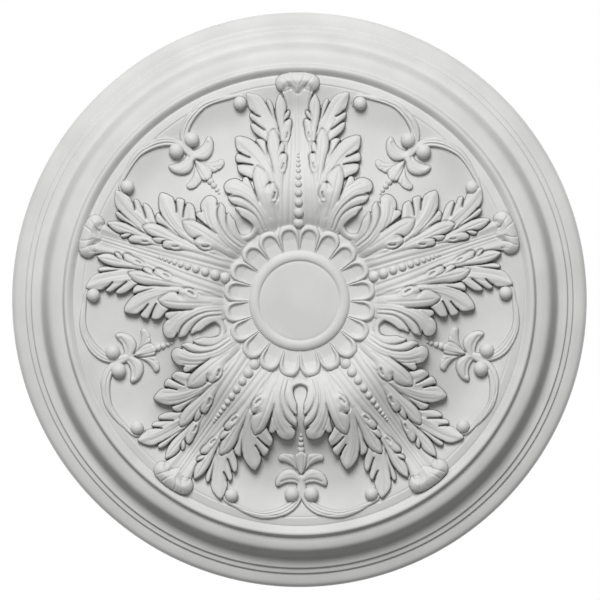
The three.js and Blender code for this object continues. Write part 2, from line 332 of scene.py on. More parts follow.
def edge_drop(inside: np.ndarray, roll: float, wall: float) -> np.ndarray:
    """Shape the rolled edge of a stroke and the wall below it.

    Args:
        inside: how far points lie inside the edge, in mm.
        roll: radius of the edge in mm.
        wall: slope of the wall outside the edge.

    Returns:
        What the edge adds to the height in mm, never above zero.
    """
    edge = np.clip(1.0 - inside / roll, 0.0, 1.0)
    rolled = roll * (1.0 - np.sqrt(np.maximum(1.0 - edge * edge, 0.0)))
    return np.where(inside < 0.0, wall * inside, 0.0) - rolled


class Relief:
    """A sheet of heights over a rectangle, built up from strokes."""

    def __init__(self, u: np.ndarray, v: np.ndarray, height: np.ndarray | None = None) -> None:
        """Lay out the sheet.

        Args:
            u: sideways places of its columns in mm.
            v: outward places of its rows in mm.
            height: its heights in mm, or None for a blank sheet.
        """
        self.u, self.v = u, v
        self.grid_u, self.grid_v = np.meshgrid(u, v)
        self.radius = np.hypot(self.grid_u, self.grid_v)
        self.height = np.zeros(self.radius.shape) if height is None else height

    def work(self, strokes: Sequence[Stroke], base: Curve) -> None:
        """Add and carve strokes in their order.

        Args:
            strokes: the strokes.
            base: height that they start from, by distance from the middle of the rose.
        """
        self.base = base(self.radius)
        makers = {Cut: self.carve, Blade: self.raise_blade, Band: self.raise_band}
        for stroke in strokes:
            makers[type(stroke)](stroke)

    def window(self, line: np.ndarray, margin: float) -> tuple[slice, slice]:
        """Find the part of the sheet that a line covers.

        Args:
            line: points in mm.
            margin: distance added all round in mm.

        Returns:
            The rows and the columns.
        """
        low, high = line.min(axis=0) - margin, line.max(axis=0) + margin
        rows = np.searchsorted(self.v, [low[1], high[1]])
        columns = np.searchsorted(self.u, [low[0], high[0]])
        return slice(*rows), slice(*columns)

    def raise_band(self, band: Band) -> None:
        """Add one band to the sheet.

        Args:
            band: the band.
        """
        half = band.width / 2.0
        line = spine(band.path)
        share = np.linspace(0.0, 1.0, len(line))
        rise = half * (band.root + (1.0 - band.root) * ease(share / band.widest))
        late = np.clip((share - band.widest) / (1.0 - band.widest), 0.0, 1.0)
        fall = half + half * (band.tip - 1.0) * late ** band.taper
        part = self.window(line, half + SHEET_MARGIN)
        gap, along, side = project(self.grid_u[part], self.grid_v[part], line)
        wide = np.interp(along, share, np.where(share < band.widest, rise, fall))
        inside = wide - gap
        middle = np.clip(inside / wide, 0.0, 1.0)
        top = self.base[part] + smooth_curve(band.lift)(along)
        top = top + band.crown * (1.0 - (1.0 - middle) ** 2)
        top = top + edge_drop(inside, band.roll, band.wall)
        start, stop = VEIN_ENDS
        fade = np.clip((along - start) / VEIN_FADE, 0, 1) * np.clip((stop - along) / VEIN_FADE, 0, 1)
        for vein in band.veins:
            beside = side * gap - vein.offset * wide
            top = top - vein.depth * np.exp(-((beside / vein.width) ** 2)) * fade * (inside > 0.0)
        self.height[part] = soft_max(self.height[part], top, BAND_FILLET)

    def raise_blade(self, blade: Blade) -> None:
        """Add one outlined area to the sheet, with a narrow quirk along its free edge.

        Args:
            blade: the area.
        """
        outline = rounded_outline(blade.outline)
        part = self.window(outline, SHEET_MARGIN)
        u, v = self.grid_u[part], self.grid_v[part]
        inside = depth_inside(u, v, outline)
        lifted = blade.rise + smooth_curve(blade.rows)(v)
        quirk = np.exp(-((inside + QUIRK_PLACE) / QUIRK_WIDTH) ** 2)
        self.height[part] -= QUIRK_DEPTH * ease(lifted + 0.2) * quirk
        share = np.clip(inside / blade.crown_reach, 0.0, 1.0)
        top = self.base[part] + lifted
        top = top + blade.crown * (1.0 - (1.0 - share) ** 2)
        top = top + edge_drop(inside, blade.roll, blade.wall)
        self.height[part] = soft_max(self.height[part], top, blade.blend)

    def carve(self, cut: Cut) -> None:
        """Take one cut out of the sheet.

        Args:
            cut: the slit, eye or groove.
        """
        line = spine(cut.path)
        part = self.window(line, cut.width * 3.0 + 1.0)
        gap, along, _ = project(self.grid_u[part], self.grid_v[part], line)
        width = cut.width * (1.0 + (cut.end_width - 1.0) * along)
        depth = cut.depth * (1.0 + (cut.end_depth - 1.0) * along)
        self.height[part] -= depth * np.exp(-((gap / width) ** 2))

    def thinned(self) -> "Relief":
        """Average the sheet and keep every second line of it.

        Returns:
            A sheet with twice the spacing, without steps along its steep edges.
        """
        soft = self.height
        for _ in range(2):
            wide = np.pad(soft, ((1, 1), (0, 0)), mode="edge")
            soft = (wide[:-2] + 2.0 * wide[1:-1] + wide[2:]) / 4.0
            wide = np.pad(soft, ((0, 0), (1, 1)), mode="edge")
            soft = (wide[:, :-2] + 2.0 * wide[:, 1:-1] + wide[:, 2:]) / 4.0
        return Relief(self.u[::2], self.v[::2], soft[::2, ::2])

    def mirrored(self) -> "Relief":
        """Make the whole sheet from the half that lies to the right of the axis.

        Returns:
            The whole sheet.
        """
        axis = int(np.argmin(np.abs(self.u)))
        across, right = self.u[axis:], self.height[:, axis:]
        both = np.hstack([right[:, :0:-1], right])
        return Relief(np.r_[-across[:0:-1], across], self.v, both)


def from_bay(*points: Point) -> tuple[Point, ...]:
    """Rewrite points given about the axis of the bay beside an arm in the arm's own frame."""
    c, s = math.cos(ARM_TURN / 2.0), math.sin(ARM_TURN / 2.0)
    return tuple((along * s + across * c, along * c - across * s) for across, along in points)


# Width and depth, and the far end's share of each, of the cuts that recur.
LOBE_SLIT = (0.7, 3.8, 1.1, 1.4)
EAR_SLIT = (0.65, 3.8, 0.9, 0.2)
MIDRIB = (0.6, 0.6, 1.4, 1.0)
FLUTE = (0.5, 0.6, 0.9, 0.6)

# The upper pair of leaflets, right half: head, small lobe, outer lobes and ear.
UPPER_LEAFLET = (
    Blade(((9, 118), (13, 132), (16.5, 148), (18.9, 160.5), (20.6, 168), (22.2, 173.8), (24.2, 177.4),
           (26.6, 178.6), (27.8, 176.4), (28, 173.6), (29.9, 177.6), (32.5, 180.3), (35.5, 182.1),
           (40, 183.4), (45.6, 184.2), (45.4, 179), (43.9, 173.2), (42.4, 169.0), (38.4, 166.4),
           (42.5, 166.2), (42.8, 162.8), (41.2, 159.8), (37.4, 157.2), (41.8, 157.2), (41.6, 153.2),
           (38.8, 148.8), (34, 145.0), (29, 141.6), (24, 135.6), (19, 126), (14, 112)),
          rise=0.5, crown=0.6, crown_reach=3.0, rows=((116, -2.1), (132, -0.6), (150, 0.0), (184, 0.7))),
    Cut(((16, 126), (29, 158), (43, 181.6)), 3.0, -0.9, 0.7),
    Cut(((20, 130), (31, 147), (41, 155.4)), 2.6, -0.6, 0.8),
    Cut(((18, 136), (31, 155.4), (42, 164.6)), 2.2, -0.6, 0.8),
    Cut(((15, 138), (21, 161), (26.2, 176.8)), 1.8, -0.6, 0.6),
    Cut(((14, 120), (27.6, 156), (39, 175)), 0.5, 0.55, 0.9, 0.6),
    Cut(((14, 126), (25.6, 158), (35.6, 176.6)), 0.5, 0.5, 0.9, 0.6),
    Cut(((18, 128), (30, 153), (41, 169.6)), 0.6, 0.5, 0.9, 0.8),
    Cut(((33.6, 162.6), (38.5, 165.2), (43.4, 168.7)), *LOBE_SLIT),
    Cut(((29.6, 151.0), (35.5, 155.2), (42.4, 160.2)), *LOBE_SLIT),
    Cut(((19.0, 154), (23, 164), (28.2, 175.4)), 0.6, 1.2, 1.0, 3.4),
    Blade(((8, 108), (9.6, 124), (9.4, 135), (8.6, 141), (7.2, 144.4), (6.5, 147.6), (6.4, 151.4),
           (5.4, 155.4), (5.6, 159), (7, 160.6), (9.4, 160), (10.8, 159.2), (8.6, 162), (7, 164.6),
           (7.2, 167.6), (9, 168), (10.4, 166.4), (10, 169.8), (10.4, 173.4), (12, 178),
           (15.6, 183.4), (18.4, 178.2), (19.9, 172.4), (20.0, 166.8), (18.8, 160.8), (16.2, 150),
           (14.6, 136), (13.2, 122), (12, 108)),
          rise=1.0, crown=1.6, crown_reach=4.0,
          rows=((110, -2.4), (134, -1.6), (142, -0.5), (160, 0.4), (184, 1.0))),
    Cut(((10.1, 167.2), (11.8, 163.4), (12.4, 158)), *EAR_SLIT),
    Cut(((10.1, 160.0), (12, 157.2), (12.5, 151)), *EAR_SLIT),
    Cut(((15.4, 178), (14.8, 165), (12.2, 140)), *MIDRIB),
    Cut(((10.1, 144.0), (9.3, 146.2), (9.2, 148.2)), 0.7, 2.6, 0.8),
    Cut(((8.2, 142), (11.2, 141.6), (12.0, 145.4), (11.6, 148.6), (10.4, 151.4)), 0.6, -0.6),
    Cut(((20.4, 173), (19.8, 163), (17.6, 152)), 0.8, 2.4, 0.9, 0.3),
)

# The middle pair of leaflets.
MIDDLE_LEAFLET = (
    Blade(((13, 60), (18, 96), (22, 114), (25.2, 129.5), (26.4, 135.5), (28, 139), (29.8, 141.6),
           (33, 143.4), (36.2, 143.2), (37.6, 141.2), (36.6, 138.0), (39.4, 141.4), (42.5, 143.2),
           (46.6, 144.8), (51.5, 145.9), (55.4, 145.0), (55.4, 140.2), (54.8, 136.6), (53.4, 132.8),
           (48.6, 130.2), (53.6, 131.0), (55.3, 127.8), (55.2, 124.9), (54.2, 122.4), (48.4, 121.2),
           (53.6, 120.4), (53.6, 116.6), (51.7, 113), (46.5, 110.6), (40.5, 107.8), (34, 102),
           (27, 93), (22.5, 82), (22, 60)),
          rise=0.6, crown=0.6, crown_reach=3.0, rows=((78, -2.1), (96, -0.7), (110, -0.2), (145, 0.9))),
    Cut(((18, 86), (30, 119), (51, 141.4)), 3.4, -1.0, 0.8),
    Cut(((23, 88), (37, 109.4), (51.6, 115.4)), 2.6, -0.7, 0.8),
    Cut(((21, 92), (36.4, 117), (53, 126.2)), 2.4, -0.7, 0.9),
    Cut(((19, 96), (27, 121.6), (34.2, 141.4)), 2.0, -0.6, 0.8),
    Cut(((17, 84), (28.6, 118), (47, 138.6)), *FLUTE),
    Cut(((19, 90), (31.6, 118), (50.6, 136)), *FLUTE),
    Cut(((16, 86), (26, 118), (42.6, 139.6)), 0.5, 0.5, 0.9, 0.6),
    Cut(((42.6, 126.8), (49, 129.4), (55.2, 132.6)), *LOBE_SLIT),
    Cut(((40, 120.0), (47, 121.2), (55.2, 121.8)), *LOBE_SLIT),
    Cut(((25.0, 120), (30, 130), (37.2, 140.4)), 0.6, 1.2, 1.0, 3.4),
    Blade(((12.5, 72), (13.2, 90), (13.4, 104), (12.6, 112), (11.2, 115.6), (10.2, 118.8), (10.3, 122),
           (9.6, 125.4), (9.9, 128.9), (11.6, 130.4), (13.6, 130),
           (12.2, 133), (11.8, 136.4), (13, 139.6), (14.8, 140.3), (15.8, 138.6), (16.2, 141.5),
           (17.4, 146), (19.2, 149.4), (21.4, 152), (24.4, 149), (26.6, 144.6), (27.4, 138.6),
           (26.7, 133.4), (24.6, 127.6), (22, 116), (19.5, 100), (18, 84), (17, 72)),
          rise=1.3, crown=1.7, crown_reach=4.5,
          rows=((75, -2.6), (104, -1.8), (114, -0.7), (125, 0.4), (150, 1.4))),
    Cut(((15.4, 140.0), (16.6, 135.6), (17.4, 128)), *EAR_SLIT),
    Cut(((12.6, 130.9), (15.6, 129.2), (17.2, 122)), *EAR_SLIT),
    Cut(((21.4, 146), (20.4, 132), (17, 104)), *MIDRIB),
    Cut(((14.1, 116.9), (13.1, 119.2), (12.9, 121.2)), 0.8, 2.8, 0.8),
    Cut(((12.0, 114.6), (15.6, 114.4), (16.2, 118.4), (15.6, 122), (14.4, 124.8)), 0.7, -0.7),
    Cut(((28, 139), (27, 131), (23.6, 118)), 0.8, 2.6, 0.9, 0.3),
)

# The lower pair of leaflets, whose outer lobes curl round the teardrop in the bay.
LOWER_LEAFLET = (
    Blade(((18, 54), (28, 78), (34, 90), (38.5, 97.2), (41, 101.5), (42.9, 106), (44.6, 109.1),
           (47, 109.8), (49.1, 108.2), (49.2, 104.8), (52.4, 107.6), (56.6, 108.5), (60.5, 107.4),
           (63.9, 105.4), (65.8, 102), (65.4, 98.4), (63.6, 95.6), (57.4, 94.6),
           *from_bay((-4.9, 111.8), (-3.5, 110.8), (-3.0, 108.8), (-3.1, 105.4), (-4.2, 102.8),
                     (-7.0, 99.8), (-4.2, 100.8), (-3.1, 100.2), (-2.9, 98.2), (-3.6, 94.6)),
           (51.2, 75.6), (48.4, 73.8), (45.5, 72.0), (41.6, 68.6), (38, 63.6), (34, 56)),
          rise=0.6, crown=0.6, crown_reach=3.0, rows=((60, -1.2), (85, -0.2), (110, 0.7))),
    Cut(from_bay((-23.2, 66), (-27.6, 78), (-29.5, 88.4), (-27.8, 101)), 2.6, 1.5, 0.8, 0.6),
    Cut(from_bay((-15, 66), (-19.6, 84), (-18.6, 102), (-11.6, 117)), 3.6, -1.2, 0.9, 0.9),
    Cut(from_bay((-12, 70), (-14.9, 82), (-14.0, 94), (-9.4, 103), (-5, 107)), 2.2, -0.8, 0.9, 1.2),
    Cut(from_bay((-13.7, 69), (-16.9, 80.7), (-16.9, 90.9), (-14.3, 101), (-10.5, 107), (-5.6, 110.9)),
        0.8, 1.1, 0.8, 3.4),
    Cut(from_bay((-10.5, 70), (-13.1, 82), (-11.4, 90.9), (-7.8, 97.4), (-4.6, 100.4)),
        0.8, 1.1, 0.8, 3.2),
    Cut(from_bay((-16.9, 68), (-20, 80.7), (-20, 93.4), (-16.9, 106), (-11.4, 114)), 0.55, 0.6, 0.9, 0.8),
    Cut(from_bay((-19.5, 68), (-23, 80), (-23.4, 94), (-20.5, 107), (-15.8, 116)), 0.55, 0.6, 0.9, 0.8),
    Cut(from_bay((-22, 68), (-25.6, 80), (-26, 94), (-23.6, 107), (-20.4, 114.6)), 0.6, 0.6, 0.9, 1.6),
    Blade(((16, 54), (19, 72), (21.2, 82), (20.4, 87), (18.7, 90.6), (17.8, 94), (18.2, 97.4),
           (19.6, 100.2), (20.4, 102.4), (22.2, 104.2), (24.6, 103.6), (26.2, 101.4),
           (26.8, 99.6), (25.9, 103.5), (25.5, 107.7), (27.3, 112), (30.6, 115.8), (33.6, 117.8),
           (36.4, 119.6), (38.9, 115.4), (40.2, 110.4), (39.8, 105), (38.3, 98.4), (35.5, 90),
           (31.5, 78), (27.5, 66), (24, 54)),
          rise=1.4, crown=1.8, crown_reach=5.5,
          rows=((60, -2.6), (80, -1.9), (88, -0.9), (100, 0.5), (118, 1.4))),
    Cut(((24.8, 104.8), (27.2, 102.6), (28.8, 99.4)), *EAR_SLIT),
    Cut(((35, 113), (32.4, 99), (25, 74)), 0.8, 0.6, 1.4, 1.0),
    Cut(((22.0, 91.0), (21.0, 93.6), (20.9, 95.8)), 0.85, 3.0, 0.8),
    Cut(((19.6, 88.6), (23.6, 88.2), (24.4, 92.4), (23.6, 96.4), (22.2, 99.4)), 0.7, -0.7),
    Cut(((40.6, 105), (39.2, 98.6), (35, 87)), 0.8, 2.8, 0.9, 0.3),
    Band(from_bay((-6.0, 95), (-8.6, 90), (-10.8, 82.5), (-8.0, 74.3), (0, 70.8), (8.0, 74.3),
                  (10.8, 82.5), (8.6, 90), (6.0, 95)), 6.2, root=0.9, widest=0.4, tip=0.8,
         lift=((0, -0.6), (0.5, -1.4), (1, -0.6)), crown=1.4, roll=2.2, wall=2.2),
)

# The stem between the leaflets, and its channel for the beads.
STEM = (
    Blade(((-8, 50), (21, 50), (19.6, 66), (18, 80), (15.5, 100), (13, 120), (10.4, 138), (8.4, 150),
           (8.8, 160), (10.4, 172), (12.6, 181), (15.5, 189), (16, 196), (-8, 196)),
          rise=-2.2, crown=0.6, crown_reach=4.0, blend=1.0,
          rows=((60, 0.6), (120, 0.0), (150, -0.4), (162, -0.5), (170, 0.1), (180, 2.0), (188, 3.2))),
    Cut(((6.4, 56), (5.4, 100), (3.4, 134), (2.0, 186)), 1.2, -0.8, 0.7, 0.3),
    Cut(((8.6, 56), (7.2, 100), (5.0, 134), (3.8, 184)), 1.1, 0.35, 0.8, 0.4),
    Cut(((11.6, 56), (10.2, 100), (7.4, 140), (9.4, 190)), 2.6, -1.2, 1.0, 1.0),
    Cut(((16.8, 56), (14.6, 95), (11.6, 124)), 1.9, -1.0, 0.7, 0.4),
    Cut(((0, 132), (0, 160), (0, 184)), 0.7, -0.5, 0.8, 0.8),
    Cut(((1.9, 131), (1.8, 160), (1.7, 184)), 0.5, 0.7, 0.9, 0.9),
)

# The scalloped tip that curls over the frame's inner fillet.
KNOB = (
    Blade(((-8, 187.4), (-6, 187.6), (-3.8, 185.8), (-2, 183.6), (0, 182.8), (2, 183.6),
           (3.8, 185.8), (6, 187.4), (8.8, 186.6), (12.4, 184.6), (16, 185), (19.2, 188.4),
           (20, 193), (18.6, 197.2), (14.4, 200.2), (7.6, 201.8), (0, 202.2), (-8, 201.6)),
          rise=0.2, crown=5.2, crown_reach=9.0, roll=1.6),
    Cut(((6.4, 200.2), (4.6, 195), (1.6, 190.4)), 0.55, 1.3, 0.7, 0.6),
    Cut(((13.4, 198.4), (10.6, 194), (6.4, 188.6)), 0.55, 0.9, 0.7, 0.8),
    Cut(((6.2, 187.2), (7.2, 190.0), (10.0, 194.4)), 0.8, 1.6, 0.9, 0.1),
    Cut(((12.2, 184.6), (12.9, 188.2), (15.2, 192)), 0.7, 1.2, 0.9, 0.1),
)

# The husk leaves, the bellflower under them and the scroll stem, right half.
HUSK = (
    Blade(((0.2, 164), (1.8, 162.8), (6.8, 160.7), (12.6, 160.6), (17.0, 162.4), (20.0, 164.2),
           (22.4, 164.0), (22.9, 160.6), (21.8, 157.2), (19.3, 153.5), (15.2, 150.3), (10.2, 149),
           (6, 150.3), (1.8, 153.7), (-1, 156)),
          rise=3.4, crown=1.8, crown_reach=4.0, wall=3.5),
    Cut(((2.5, 160.6), (9, 158.2), (18, 160.4)), 1.6, 1.5, 0.8, 0.8),
    Cut(((3, 157.6), (8, 154.6), (14, 154.2)), 0.6, 0.4, 1.0, 0.5),
)
BELLFLOWER = (
    Blade(((0, 155), (1.4, 153.7), (3.5, 150.3), (8.5, 145.3), (14.3, 142.6), (19.3, 141.9), (20.6, 139.5),
           (19.3, 136.4), (15.2, 135), (11, 135.1), (6.8, 136), (4.3, 137.4), (1, 142)),
          rise=2.6, crown=1.5, crown_reach=4.0),
    Cut(((3, 150), (8, 141.5), (15, 137.2)), 0.7, 0.8, 1.0, 0.6),
    Cut(((10.5, 135.6), (10.2, 138), (8, 141)), 0.6, 0.8, 1.0, 0.2),
    Blade(((-3, 150), (0, 154.6), (2.5, 150.4), (4.4, 144.6), (5.6, 139.4), (5.4, 136.2), (3.4, 134.8),
           (2.4, 133.8), (0, 133.2), (-3, 134)),
          rise=3.8, crown=1.6, crown_reach=3.0),
    Cut(((1.6, 150), (2.4, 143), (3.0, 135.4)), 0.5, 1.1, 1.2, 0.6),
)
SCROLL = (
    Band(((-0.4, 157), (1.0, 165), (1.8, 171), (4.4, 176.8), (8.8, 181.6), (14.6, 185.2), (22, 187.8),
          (33.7, 189.4), (43, 187.6), (51, 184.4), (58, 181.0), (64, 178.2), (68.4, 174.6),
          (68.8, 169.4), (65.4, 165.6)), 8.4, root=0.66, widest=0.36,
         tip=0.2, lift=((0, 3.4), (0.2, 3.2), (0.45, 2.4), (0.7, 2.5), (1, 1.6)), crown=1.1,
         roll=1.8, wall=2.4, taper=0.9, veins=(Vein(-0.40, 1.0, 0.7), Vein(0.24, 1.3, 0.8))),
)


# From heights to meshes.

def rotated(points: np.ndarray, angle: float) -> np.ndarray:
    """Turn bench points about the rose's axis.

    Args:
        points: rows of x, y, h in mm.
        angle: turn in radians, anticlockwise as seen from below.

    Returns:
        The turned rows.
    """
    c, s = math.cos(angle), math.sin(angle)
    turned = points.copy()
    turned[:, 0] = points[:, 0] * c - points[:, 1] * s
    turned[:, 1] = points[:, 0] * s + points[:, 1] * c
    return turned


def to_room(points: np.ndarray) -> np.ndarray:
    """Turn bench points in mm over into the room, in metres."""
    return points * np.array([MM, -MM, -MM])


def add_object(name: str, data: Any) -> bpy.types.Object:
    """Link a new object at the origin into the scene.

    Args:
        name: the object's name.
        data: its mesh, light or camera.

    Returns:
        The object.
    """
    made = bpy.data.objects.new(name, data)
    bpy.context.scene.collection.objects.link(made)
    return made


def make_piece(name: str, points: np.ndarray, faces: Faces,
               finish: bpy.types.Material, shaded: np.ndarray | None = None) -> bpy.types.Object:
    """Make a smooth-shaded mesh object at the origin from bench points.

    Args:
        name: the piece's name.
        points: rows of x, y, h in mm.
        faces: corner numbers of each face, anticlockwise from outside.
        finish: the material.
        shaded: how deep each point lies in a recess, from 0 to 1, which the material paints as shade.

    Returns:
        The new object, linked into the scene.
    """
    mesh = bpy.data.meshes.new(name)
    mesh.from_pydata(to_room(points).tolist(), [], faces)
    # The recess mask goes on as an attribute, which the material paints as shade.
    if shaded is not None:
        mesh.attributes.new(RECESS, "FLOAT", "POINT").data.foreach_set("value", shaded)
    mesh.validate()
    mesh.shade_smooth()
    mesh.materials.append(finish)
    return add_object(name, mesh)


def attach(piece: bpy.types.Object) -> None:
    """Fix a piece to the rose's one body in the frame, and report it.

    Args:
        piece: the finished piece.
    """
    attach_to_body(piece, BODY)
    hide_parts(CAD_NODE)
    LOG.info("%s: %d faces", piece.name, len(piece.data.polygons))


def grown(mask: np.ndarray) -> np.ndarray:
    """Widen a mask of cells by one cell all round.

    Args:
        mask: cells that are kept.

    Returns:
        The wider mask.
    """
    wide = np.pad(mask, 1)
    rows, columns = mask.shape
    return np.any([wide[i:i + rows, j:j + columns] for i in range(3) for j in range(3)], axis=0)


def without_pinches(mask: np.ndarray) -> np.ndarray:
    """Fill cells until no two cells meet only at a corner.

    Args:
        mask: cells that are kept.

    Returns:
        The filled mask.
    """
    mask = mask.copy()
    for _ in range(20):
        a, b = mask[:-1, :-1], mask[:-1, 1:]
        c, d = mask[1:, :-1], mask[1:, 1:]
        rising = a & d & ~b & ~c
        falling = b & c & ~a & ~d
        if not rising.any() and not falling.any():
            break
        mask[:-1, 1:] |= rising
        mask[:-1, :-1] |= falling
    return mask


def edge_loops(cells: np.ndarray) -> list[list[tuple[int, int]]]:
    """Follow the border of a mask, with the kept cells on the left.

    Args:
        cells: cells that are kept, by row and column.

    Returns:
        Loops of (row, column) grid points.
    """
    beyond = np.pad(cells, 1)
    onward: dict[tuple[int, int], tuple[int, int]] = {}
    for i, j in np.argwhere(cells).tolist():
        corners = ((i, j), (i, j + 1), (i + 1, j + 1), (i + 1, j))
        joined = (beyond[i, j + 1], beyond[i + 1, j + 2], beyond[i + 2, j + 1], beyond[i + 1, j])
        for k in range(4):
            if not joined[k]:
                onward[corners[k]] = corners[(k + 1) % 4]
    loops = []
    while onward:
        start, spot = onward.popitem()
        loop = [start]
        while spot != start:
            loop.append(spot)
            spot = onward.pop(spot)
        loops.append(loop)
    return loops


# The drops in mm from which the painted shade starts, and over which it grows to its fullest; its share at
# the foot of edges, and its reach in grid lines.
FOOT_DROP = (1.2, 2.3)
SLIT_DROP = (0.8, 1.8)
FOOT_PAINTED_SHADE = 0.78
PAINTED_SHADE_REACH = 2


def within_reach(height: np.ndarray, pick: Callable[..., np.ndarray]) -> np.ndarray:
    """Take the highest or the lowest height within a few grid lines of each spot.

    Args:
        height: heights in mm on the grid.
        pick: np.maximum or np.minimum.

    Returns:
        The height picked for each spot.
    """
    wide = np.pad(height, PAINTED_SHADE_REACH, mode="edge")
    rows, columns = height.shape
    found = height
    span = range(2 * PAINTED_SHADE_REACH + 1)
    for i in span:
        for j in span:
            if (i - PAINTED_SHADE_REACH) ** 2 + (j - PAINTED_SHADE_REACH) ** 2 <= PAINTED_SHADE_REACH ** 2:
                found = pick(found, wide[i:i + rows, j:j + columns])
    return found


def recess(height: np.ndarray) -> np.ndarray:
    """Tell how far each spot lies down beside higher ones.

    Args:
        height: heights in mm on the grid.

    Returns:
        0 where the surface lies open, more at the foot of steep edges, and 1 in slits. The material paints
        this as shade.
    """
    highest = within_reach(height, np.maximum)
    bridged = within_reach(highest, np.minimum)
    foot = ease((highest - height - FOOT_DROP[0]) / FOOT_DROP[1])
    slit = ease((bridged - height - SLIT_DROP[0]) / SLIT_DROP[1])
    return np.maximum(FOOT_PAINTED_SHADE * foot, slit)


def relief_solid(relief: Relief, sunk: float) -> tuple[np.ndarray, Faces, np.ndarray]:
    """Close a sheet of heights into a solid wherever it stands out of the ground.

    Args:
        relief: the sheet.
        sunk: how far in mm below the ground the sheet is followed down.

    Returns:
        Bench points in mm, faces, and the recess at each point.
    """
    ground = GROUND(relief.radius)
    height = np.maximum(relief.height, ground - sunk - 1.0)
    proud = relief.height > ground - sunk
    cells = proud[:-1, :-1] | proud[1:, :-1] | proud[:-1, 1:] | proud[1:, 1:]
    cells = without_pinches(grown(cells))
    used = np.zeros(height.shape, bool)
    used[:-1, :-1] |= cells
    used[1:, :-1] |= cells
    used[:-1, 1:] |= cells
    used[1:, 1:] |= cells
    number = np.full(height.shape, -1)
    number[used] = np.arange(used.sum())
    points = np.c_[relief.grid_u[used], relief.grid_v[used], height[used]]
    i, j = np.nonzero(cells)
    faces = np.c_[number[i, j], number[i, j + 1], number[i + 1, j + 1], number[i + 1, j]].tolist()
    rims = edge_loops(cells)
    below = {}
    extra = []
    for loop in rims:
        for spot in loop:
            below[spot] = len(points) + len(extra)
            extra.append((relief.u[spot[1]], relief.v[spot[0]], SOLID_FLOOR))
    for loop in rims:
        for a, b in zip(loop, loop[1:] + loop[:1]):
            faces.append([int(number[b]), int(number[a]), below[a], below[b]])
    flat = [[mathutils.Vector((relief.u[j], relief.v[i], 0.0)) for i, j in loop] for loop in rims]
    order = [spot for loop in rims for spot in loop]
    for corners in mathutils.geometry.tessellate_polygon(flat):
        a, b, c = (order[k] for k in corners)
        turn = ((relief.u[b[1]] - relief.u[a[1]]) * (relief.v[c[0]] - relief.v[a[0]])
                - (relief.u[c[1]] - relief.u[a[1]]) * (relief.v[b[0]] - relief.v[a[0]]))
        if turn == 0.0:
            continue
        faces.append([below[a], below[c], below[b]] if turn > 0.0 else [below[a], below[b], below[c]])
    # Recess mask for the painted shade, none on the flat underside.
    shaded = np.r_[recess(height)[used], np.zeros(len(extra))]
    return np.vstack([points, np.array(extra)]), faces, shaded


def turned_solid(rows: np.ndarray, steps: int) -> tuple[np.ndarray, Faces]:
    """Turn a section about the axis into a closed solid.

    Args:
        rows: radius and height in mm, from the axis on top to the axis below.
        steps: steps round.

    Returns:
        Bench points in mm, and faces.
    """
    angles = np.arange(steps) * 2.0 * math.pi / steps
    rings = rows[1:-1]
    x = rings[:, :1] * np.cos(angles)
    y = rings[:, :1] * np.sin(angles)
    h = np.repeat(rings[:, 1:], steps, axis=1)
    points = np.c_[x.ravel(), y.ravel(), h.ravel()]
    top, bottom = len(points), len(points) + 1
    points = np.vstack([points, (0.0, 0.0, rows[0, 1]), (0.0, 0.0, rows[-1, 1])])
    faces: Faces = []
    last = (len(rings) - 1) * steps
    for k in range(steps):
        n = (k + 1) % steps
        faces.append([top, k, n])
        faces.append([bottom, last + n, last + k])
    for ring in range(len(rings) - 1):
        near, far = ring * steps, (ring + 1) * steps
        for k in range(steps):
            n = (k + 1) % steps
            faces.append([near + k, far + k, far + n, near + n])
    return points, faces


# Node trees.

def add_node(tree: bpy.types.NodeTree, kind: str, settings: dict[str, Any] | None = None,
             inputs: dict[Any, Any] | None = None) -> bpy.types.Node:
    """Add a node with its settings and its inputs.

    Args:
        tree: the tree that it goes into.
        kind: the node's type name.
        settings: properties of the node.
        inputs: input socket name or number, to an output socket or a plain value.

    Returns:
        The new node.
    """
    node = tree.nodes.new(kind)
    for name, value in (settings or {}).items():
        setattr(node, name, value)
    for name, value in (inputs or {}).items():
        if isinstance(value, bpy.types.NodeSocket):
            tree.links.new(value, node.inputs[name])
        else:
            node.inputs[name].default_value = value
    return node


def linear(code: str) -> tuple[float, float, float, float]:
    """Turn an sRGB hex colour into linear red, green, blue and alpha.

    Args:
        code: the colour, such as "E8E8E6".

    Returns:
        Linear values with alpha 1.
    """
    parts = [int(code[i:i + 2], 16) / 255.0 for i in (0, 2, 4)]
    values = [p / 12.92 if p <= 0.04045 else ((p + 0.055) / 1.055) ** 2.4 for p in parts]
    return values[0], values[1], values[2], 1.0


class TreeInput(Enum):
    """Named inputs of the Geometry Nodes trees, with their socket types."""

    SHAPE = "Geometry"
    ROUND_STEPS = "Steps round"
    RINGS = "Rings"
    COUNT = "Count"
    MATERIAL = "Material"

    @property
    def socket(self) -> str:
        """Name the type of the input's socket."""
        own = {TreeInput.SHAPE: "Geometry", TreeInput.MATERIAL: "Material"}
        return "NodeSocket" + own.get(self, "Int")


def start_tree(name: str, inputs: Sequence[TreeInput]) -> tuple[bpy.types.NodeTree, Any]:
    """Start a tree that takes a shape, the given inputs and a material.

    Args:
        name: the piece's name.
        inputs: the inputs besides shape and material.

    Returns:
        The tree, and its inputs' sockets by name.
    """
    tree = bpy.data.node_groups.new(name + "_tree", "GeometryNodeTree")
    for item in (TreeInput.SHAPE, *inputs, TreeInput.MATERIAL):
        tree.interface.new_socket(item.value, in_out="INPUT", socket_type=item.socket)
    tree.interface.new_socket("Geometry", in_out="OUTPUT", socket_type="NodeSocketGeometry")
    return tree, add_node(tree, "NodeGroupInput").outputs


